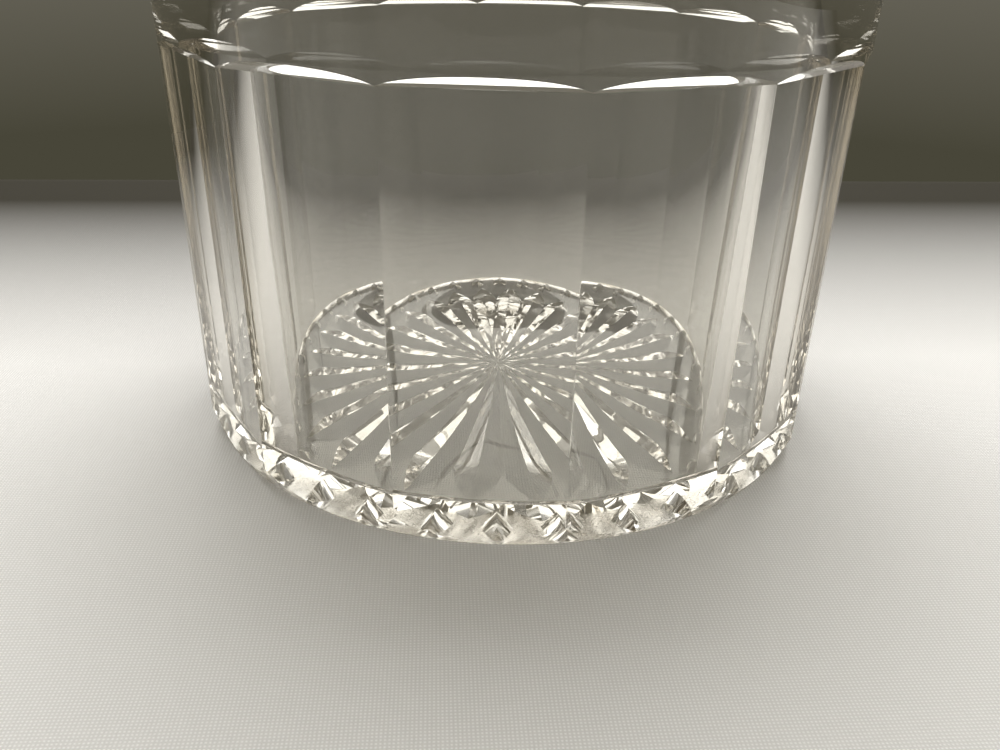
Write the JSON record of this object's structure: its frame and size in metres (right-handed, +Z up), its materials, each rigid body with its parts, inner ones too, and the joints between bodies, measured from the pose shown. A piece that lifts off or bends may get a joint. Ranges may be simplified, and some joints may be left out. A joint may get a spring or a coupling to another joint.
{
  "type": "bottle coaster",
  "caption": "Deep round bottle coaster of thick clear cut glass, with flat side panels under a plain collar and a star cut into the underside.",
  "frame": {"origin": "centre of the underside, on the axis, at the level of the surface the coaster stands on", "axes": "+Z up along the axis of the cup; the middle of one flat side panel faces -Y"},
  "size_m": [0.1204, 0.1204, 0.086],
  "materials": {
    "clear_glass": "polished cut lead crystal, clear with a faint warm tone"
  },
  "bodies": {
    "root": {"glass_body": "clear_glass"}
  },
  "joints": []
}
